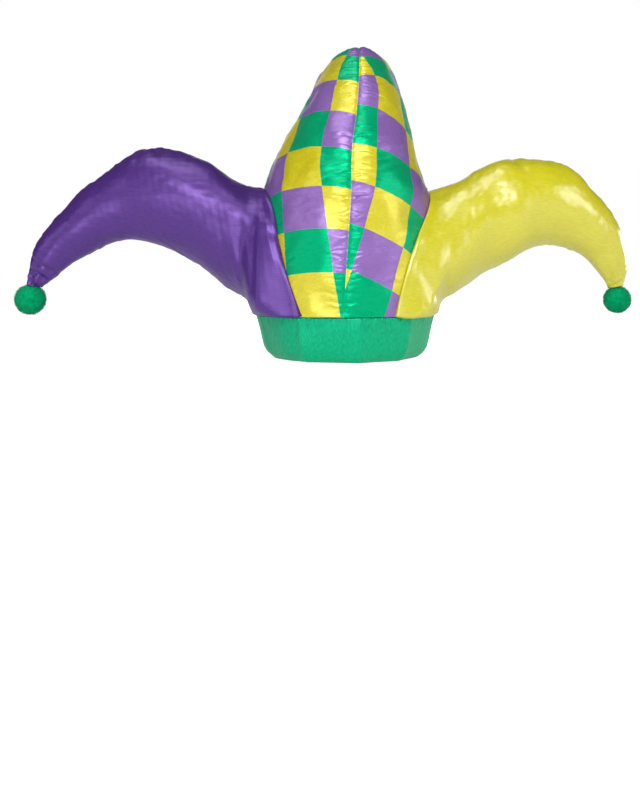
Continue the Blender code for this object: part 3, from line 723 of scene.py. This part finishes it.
def makeBand():
    # Down the outer face, round the turned lower edge, up the inner face and round the top: a closed loop.
    # The loop is evened out round the head three times by a bell of five weights.
    angle = np.linspace(-np.pi, np.pi, band["columns"], endpoint=False)
    face = np.linspace(band["faceTop"], band["faceLow"], band["faceRows"])
    turn = np.linspace(0, np.pi, band["turnPoints"])[1:-1]
    half = band["wall"] / 2
    lowEdge = band["faceLow"] - band["faceLow"] * np.sin(turn)
    topEdge = band["faceTop"] + (1 - band["faceTop"]) * np.sin(turn)
    heights = np.concatenate([face, lowEdge, face[::-1], topEdge])
    insets = np.concatenate([
        np.zeros(band["faceRows"]), half * (1 - np.cos(turn)),
        np.full(band["faceRows"], band["wall"]), half * (1 + np.cos(turn))])
    grid, around = np.meshgrid(heights, angle, indexing="ij")
    points = bandFace(grid, around, insets[:, None])
    kernel = np.array([1, 4, 6, 4, 1]) / 16
    for step in range(3):
        points = sum(w * np.roll(points, k, axis=1) for w, k in zip(kernel, (-2, -1, 0, 1, 2)))
    length = lengths(points[0])[None, :]
    below = (1 - grid) * hat["bandHeight"]
    spots = seamSpots(61, 0.0, length[0, -1], *band["gathers"])
    outer = (insets < half)[:, None]
    press = puckers(length, below, spots) * outer + band["softNoise"] * ripple(points, band["softWave"], 62)
    normal = np.stack([np.sin(around), -np.cos(around), np.zeros_like(around)], axis=-1)
    points = points + normal * press[..., None]
    return solid("headBand", points + middle, plainUvs(points), loopedRows=True)


# A pompom: lengths are shares of its radius, except the fibres' width in metres.
pompoms = {
    "fibres": 9000,
    "width": 0.00036,
    "reach": 0.975,  # of a fibre's tip, on average
    "spread": 0.040,
    "shortest": 0.86,
    "longest": 1.06,
    "root": 0.74,
    "waist": 0.83,  # of the way to the tip
    "core": 0.90,
    "coreRows": 40,
    "coreColumns": 64,
}


def makePompom(name, node, seed):
    # Ball of cut yarn: a lumpy core, and fibres that stand out of it and bend. A fibre is two rings of three
    # points and a tip, laid along a line from the middle to a spot on the ball. The spots follow each other
    # by the golden angle, 2.39996, with a little chance.
    low, high = (np.array(corner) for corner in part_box(node))
    centre, radius = (low + high) / 2, (high - low).max() / 2
    draw = np.random.default_rng(seed)
    count = pompoms["fibres"]
    turn = np.arange(count) * 2.39996
    level = 1 - 2 * (np.arange(count) + 0.5) / count
    flat = np.sqrt(1 - level**2)
    way = np.stack([flat * np.cos(turn), flat * np.sin(turn), level], axis=1)
    way = way + draw.normal(scale=0.10, size=way.shape)
    way /= np.linalg.norm(way, axis=1, keepdims=True)
    lumps = 0.012 * ripple(way, 1.1, seed + 1) + 0.006 * ripple(way, 0.4, seed + 2)
    reach = pompoms["reach"] + lumps + draw.normal(scale=pompoms["spread"], size=count)
    reach = radius * np.clip(reach, pompoms["shortest"], pompoms["longest"])
    lean = np.cross(way, draw.normal(size=way.shape))
    across = np.cross(way, lean)
    lean /= np.linalg.norm(lean, axis=1, keepdims=True)
    across /= np.linalg.norm(across, axis=1, keepdims=True)
    bend = draw.uniform(0.02, 0.14, count)[:, None] * radius
    root = way * radius * pompoms["root"]
    waist = way * (reach * pompoms["waist"])[:, None] + lean * bend * 0.35
    tip = way * reach[:, None] + lean * bend
    spots = []
    for spot, thick in ((root, 1.2), (waist, 1.0)):
        for k in range(3):
            a = 2 * np.pi * k / 3
            offset = (lean * np.cos(a) + across * np.sin(a)) * pompoms["width"] / 2 * thick
            spots.append(spot + offset)
    spots.append(tip)
    fibres = np.stack(spots, axis=1)
    first = np.arange(count)[:, None] * 7
    quads = np.concatenate([first + np.array([k, (k + 1) % 3, (k + 1) % 3 + 3, k + 3]) for k in range(3)])
    tips = np.concatenate([first + np.array([k + 3, (k + 1) % 3 + 3, 6]) for k in range(3)])
    ends = first + np.array([2, 1, 0])
    rows, columns = pompoms["coreRows"], pompoms["coreColumns"]
    down = np.linspace(0.02, np.pi - 0.02, rows)
    polar, around = np.meshgrid(down, np.linspace(0, 2 * np.pi, columns + 1)[:-1], indexing="ij")
    ball = np.stack([np.sin(polar) * np.cos(around), np.sin(polar) * np.sin(around), np.cos(polar)], axis=-1)
    ball = ball * radius * (pompoms["core"] + 0.007 * ripple(ball, 0.5, seed + 3))[..., None]
    core = ball.reshape(-1, 3)
    i, j = (x.ravel() for x in np.meshgrid(np.arange(rows - 1), np.arange(columns), indexing="ij"))
    after = (j + 1) % columns
    here, below = i * columns, (i + 1) * columns
    coreQuads = np.stack([here + j, below + j, below + after, here + after], axis=1)
    base = count * 7
    lastRing = base + (rows - 1) * columns
    topPole = np.full(columns, base + rows * columns)
    ring = np.arange(columns)
    after = (ring + 1) % columns
    topFan = np.stack([topPole, base + ring, base + after], axis=1)
    lowFan = np.stack([topPole + 1, lastRing + after, lastRing + ring], axis=1)
    poles = np.array([ball[0].mean(axis=0), ball[-1].mean(axis=0)])
    spots = np.concatenate([fibres.reshape(-1, 3), core, poles]) + centre
    parts = (quads, tips, ends, coreQuads + base, topFan, lowFan)
    faces = [face for part in parts for face in part.tolist()]
    return meshPiece(name, spots, faces, np.zeros((sum(part.size for part in parts), 2)))


# Materials are named for what the real one is made of. Their colours are sRGB codes.
def linear(code):
    # Linear colour from an sRGB hex code: the standard curve, channel by channel.
    value = np.array([int(code[k:k + 2], 16) for k in (0, 2, 4)]) / 255
    low, high = value / 12.92, ((value + 0.055) / 1.055) ** 2.4
    return (*np.where(value <= 0.04045, low, high).tolist(), 1.0)


def addNode(tree, kind, links=(), **settings):
    # New node: plain settings are its own properties, numbered ones its sockets; links join its inputs.
    node = tree.nodes.new(kind)
    for key, value in settings.items():
        if key.startswith("in"):
            node.inputs[int(key[2:])].default_value = value
        else:
            setattr(node, key, value)
    for socket, source in links:
        tree.links.new(source, node.inputs[socket])
    return node


def newMaterial(name, **shaderSettings):
    # Material with a Principled shader, its sockets set by name.
    material = bpy.data.materials.new(name)
    material.use_nodes = True
    tree = material.node_tree
    shader = tree.nodes["Principled BSDF"]
    for key, value in shaderSettings.items():
        shader.inputs[key.replace("_", " ")].default_value = value
    return material, tree, shader


def satinBump(tree, shader, strength, grain):
    # Weave of polyester satin: long floating filaments with a slub now and then. The real threads lie 0.15 mm
    # apart; these lie about 1 mm apart, so that they show. Grain is how many turns a metre along X, Y and Z.
    coord = addNode(tree, "ShaderNodeTexCoord")
    scaled = addNode(tree, "ShaderNodeMapping", [(0, coord.outputs["Object"])])
    scaled.inputs["Scale"].default_value = grain
    thread = addNode(tree, "ShaderNodeTexNoise", [(0, scaled.outputs[0])])
    for key, value in (("Scale", 1.0), ("Detail", 2.5), ("Roughness", 0.65)):
        thread.inputs[key].default_value = value
    bump = addNode(tree, "ShaderNodeBump", [("Height", thread.outputs[0])])
    for key, value in (("Strength", strength), ("Distance", 0.0008)):
        bump.inputs[key].default_value = value
    tree.links.new(bump.outputs[0], shader.inputs["Normal"])
    # The thread's height, mapped to 0 to 1, is handed back too: it paints shade into the dips between
    # threads.
    return addNode(tree, "ShaderNodeMapRange", [(0, thread.outputs[0])], in1=0.34, in2=0.66)


def plainSatin(name, light, dipShade, gloss, grain, bump, metallic, level, roughness):
    # Polyester satin in one colour: the floating filaments mirror light partly in their own colour, which the
    # metallic share gives; where they dip between threads the colour is mixed darker, as painted shade.
    material, tree, shader = newMaterial(
        name, Roughness=roughness, Metallic=metallic, Specular_IOR_Level=level, Specular_Tint=linear(gloss),
        IOR=1.57)
    thread = satinBump(tree, shader, bump, grain)
    # The darker colour where the bump's noise is low, in the dips between threads, is painted shade.
    mix = addNode(tree, "ShaderNodeMix", [(0, thread.outputs[0])], data_type="RGBA", in6=linear(dipShade),
                  in7=linear(light))
    tree.links.new(mix.outputs[2], shader.inputs["Base Color"])
    return material


def threeColours(tree, isPurple, isYellow, codes):
    # One of three colours: the first, or the second where isPurple is 1, or the third where isYellow is 1.
    green, purple, yellow = (linear(code) for code in codes)
    first = addNode(tree, "ShaderNodeMix", [(0, isPurple)], data_type="RGBA", in6=green, in7=purple)
    links = [(0, isYellow), (6, first.outputs[2])]
    return addNode(tree, "ShaderNodeMix", links, data_type="RGBA", in7=yellow).outputs[2]


def checkedSatin():
    # Polyester satin printed with squares about 45 by 37 mm in three colours: the square's colour is the
    # whole number of its column plus that of its row, modulo 3. UVs count squares.
    material, tree, shader = newMaterial(
        "chequeredSatin", Roughness=0.33, Metallic=0.22, Specular_IOR_Level=1.0, IOR=1.57)
    thread = satinBump(tree, shader, 0.40, (320.0, 320.0, 1000.0))
    cloth = addNode(tree, "ShaderNodeUVMap", uv_map="clothMap")
    parts = addNode(tree, "ShaderNodeSeparateXYZ", [(0, cloth.outputs[0])])

    def mathNode(operation, links, **settings):
        # Output of a Math node that does one operation.
        return addNode(tree, "ShaderNodeMath", links, operation=operation, **settings).outputs[0]

    column = mathNode("FLOOR", [(0, parts.outputs[0])])
    row = mathNode("FLOOR", [(0, parts.outputs[1])])
    total = mathNode("ADD", [(0, column), (1, row)])
    cycle = mathNode("MODULO", [(0, total)], in1=3.0)
    isPurple = mathNode("GREATER_THAN", [(0, cycle)], in1=0.5)
    isYellow = mathNode("GREATER_THAN", [(0, cycle)], in1=1.5)
    ink = threeColours(tree, isPurple, isYellow, ("009C68", "8561A8", "CCC014"))
    gloss = threeColours(tree, isPurple, isYellow, ("30FFC0", "E4D0FF", "FFFFE4"))
    # Painted shade and highlight: the ink is darkened to 0.88 in the dips between threads and lightened to
    # 1.06 on the raised threads, by the bump's noise.
    threadShading = addNode(tree, "ShaderNodeMapRange", [(0, thread.outputs[0])], in3=0.88, in4=1.06)
    shade = addNode(tree, "ShaderNodeMix", [(6, ink), (7, threadShading.outputs[0])], data_type="RGBA",
                    blend_type="MULTIPLY", in0=1.0)
    tree.links.new(shade.outputs[2], shader.inputs["Base Color"])
    tree.links.new(gloss, shader.inputs["Specular Tint"])
    return material


def satinReverse():
    # Wrong side of the printed satin, inside the crown: dull, with the inks showing through as one pale grey.
    return newMaterial("satinReverse", Base_Color=linear("9C98A0"), Roughness=0.85, Specular_IOR_Level=0.2)[0]


def yarn():
    # Acrylic pompom yarn: rough, with a soft sheen at its edges. Its colour is mottled by noise between a
    # darker and a lighter green, painted shade that stands in for its depths.
    material, tree, shader = newMaterial(
        "acrylicYarn", Roughness=0.95, Sheen_Weight=0.04, Sheen_Roughness=0.5, Specular_IOR_Level=0.05)
    coord = addNode(tree, "ShaderNodeTexCoord")
    noise = addNode(tree, "ShaderNodeTexNoise", [(0, coord.outputs["Object"])])
    noise.inputs["Scale"].default_value = 330.0
    # The mottle of darker and lighter green is painted shade among the tufts.
    mix = addNode(tree, "ShaderNodeMix", [(0, noise.outputs[0])], data_type="RGBA", in6=linear("007248"),
                  in7=linear("02B074"))
    tree.links.new(mix.outputs[2], shader.inputs["Base Color"])
    return material


def finishPiece(thing, material, slotName, nodes):
    # Gives a piece its material and its body, and hides the solids that it stands for.
    thing.data.materials.append(material)
    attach(thing, "root")
    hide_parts(*nodes)


checked = checkedSatin()
# The threads run along the horns, and up and down the band.
alongHorn, downBand = (150.0, 500.0, 1100.0), (1000.0, 1000.0, 220.0)
purple = plainSatin("purpleSatin", "482876", "3C2066", "D0AAFF", alongHorn, bump=0.12, metallic=0.16,
                    level=1.0, roughness=0.38)
yellow = plainSatin("yellowSatin", "C4BE12", "B8B00A", "FFFFFF", alongHorn, bump=0.10, metallic=0.0,
                    level=1.0, roughness=0.31)
green = plainSatin("greenSatin", "00AC78", "008A60", "70FFDA", downBand, bump=0.4, metallic=0.3, level=0.9,
                   roughness=0.34)
fluff = yarn()

crownPiece, inside = makeCrown()
finishPiece(crownPiece, checked, "chequered_satin", ["crown"])
crownPiece.data.materials.append(satinReverse())
crownPiece.data.polygons.foreach_set("material_index", inside)
for name, horn, material, slotName, node in (
        ("purpleHorn", purpleHorn, purple, "purple_satin", "purple_horn"),
        ("yellowHorn", yellowHorn, yellow, "yellow_satin", "yellow_horn")):
    finishPiece(makeHorn(name, horn), material, slotName, [node])
bandPiece = makeBand()
finishPiece(bandPiece, green, "green_satin", ["band"])
for name, node, seed in (
        ("purplePompom", "purple_horn_pompom", 71),
        ("yellowPompom", "yellow_horn_pompom", 81),
        ("crownPompom", "crown_pompom", 91)):
    finishPiece(makePompom(name, node, seed), fluff, "green_fluff", [node])
print("stage: materials and pieces done")


def seenAndLit(tree, seen, lit):
    # Strength of a white background: one value where the camera sees it, another for the light it gives.
    path = addNode(tree, "ShaderNodeLightPath")
    ray = path.outputs["Is Camera Ray"]
    return addNode(tree, "ShaderNodeMapRange", [(0, ray)], in3=lit, in4=seen).outputs[0]


def makeFloor():
    # White floor that ends far outside the view, 0.5 mm below the hat.
    mesh = bpy.data.meshes.new("studioFloor")
    corners = [(-6, -6), (6, -6), (6, 6), (-6, 6)]
    mesh.from_pydata([(x, y, -0.0005) for x, y in corners], [], [(0, 1, 2, 3)])
    floor = bpy.data.objects.new("studioFloor", mesh)
    bpy.context.scene.collection.objects.link(floor)
    material, tree, shader = newMaterial("studioPaper", Roughness=0.9)
    shader.inputs["Base Color"].default_value = linear("E0E0E0")
    shader.inputs["Emission Color"].default_value = (1.0, 1.0, 1.0, 1.0)
    tree.links.new(seenAndLit(tree, 0.96, 0.30), shader.inputs["Emission Strength"])
    mesh.materials.append(material)


def addLight(name, spot, size, power, aim):
    # Rectangular soft light at a spot, turned to a point at the height of its aim over the band's middle.
    # Spots are measured from there too. Power is in watts.
    data = bpy.data.lights.new(name, "AREA")
    data.shape = "RECTANGLE"
    data.size, data.size_y = size
    data.energy = power
    light = bpy.data.objects.new(name, data)
    bpy.context.scene.collection.objects.link(light)
    light.location = Vector(middle) + Vector(spot)
    way = Vector(middle) + Vector((0.0, 0.0, aim)) - light.location
    light.rotation_euler = way.to_track_quat("-Z", "Y").to_euler()


makeFloor()
addLight("keyLight", (-0.05, -1.45, 0.98), (0.9, 0.6), 21.0, 0.14)
addLight("topLight", (-0.30, -0.25, 1.90), (1.0, 0.8), 10.0, 0.18)
addLight("leftFront", (-1.35, -0.75, 0.50), (0.4, 0.5), 1.8, 0.14)
addLight("rightFront", (1.40, -0.65, 0.50), (0.5, 0.6), 5.5, 0.14)
addLight("rightPanel", (1.30, 0.75, 0.16), (1.0, 0.3), 6.0, 0.03)
addLight("backPanel", (0.0, 1.90, 0.60), (1.6, 0.8), 4.0, 0.10)
addLight("lowPanel", (-0.55, -1.45, 0.10), (0.55, 0.2), 4.5, 0.02)

scene = bpy.context.scene
world = bpy.data.worlds.new("studioWhite")
world.use_nodes = True
sky = world.node_tree.nodes["Background"]
world.node_tree.links.new(seenAndLit(world.node_tree, 1.0, 0.08), sky.inputs["Strength"])
sky.inputs["Color"].default_value = (1.0, 1.0, 1.0, 1.0)
scene.world = world
scene.view_settings.view_transform = "Standard"

# A level camera 1.05 m in front of the band's middle. The shifts give the hat its place in the photograph.
camera = bpy.data.objects.new("camera", bpy.data.cameras.new("camera"))
scene.collection.objects.link(camera)
camera.data.lens = 47.25
camera.data.sensor_width = 36.0
camera.data.shift_x = -0.0313
camera.data.shift_y = -0.168
camera.location = (middle[0], middle[1] - 1.05, 0.0897)
camera.rotation_euler = (np.pi / 2, 0.0, 0.0)
scene.camera = camera
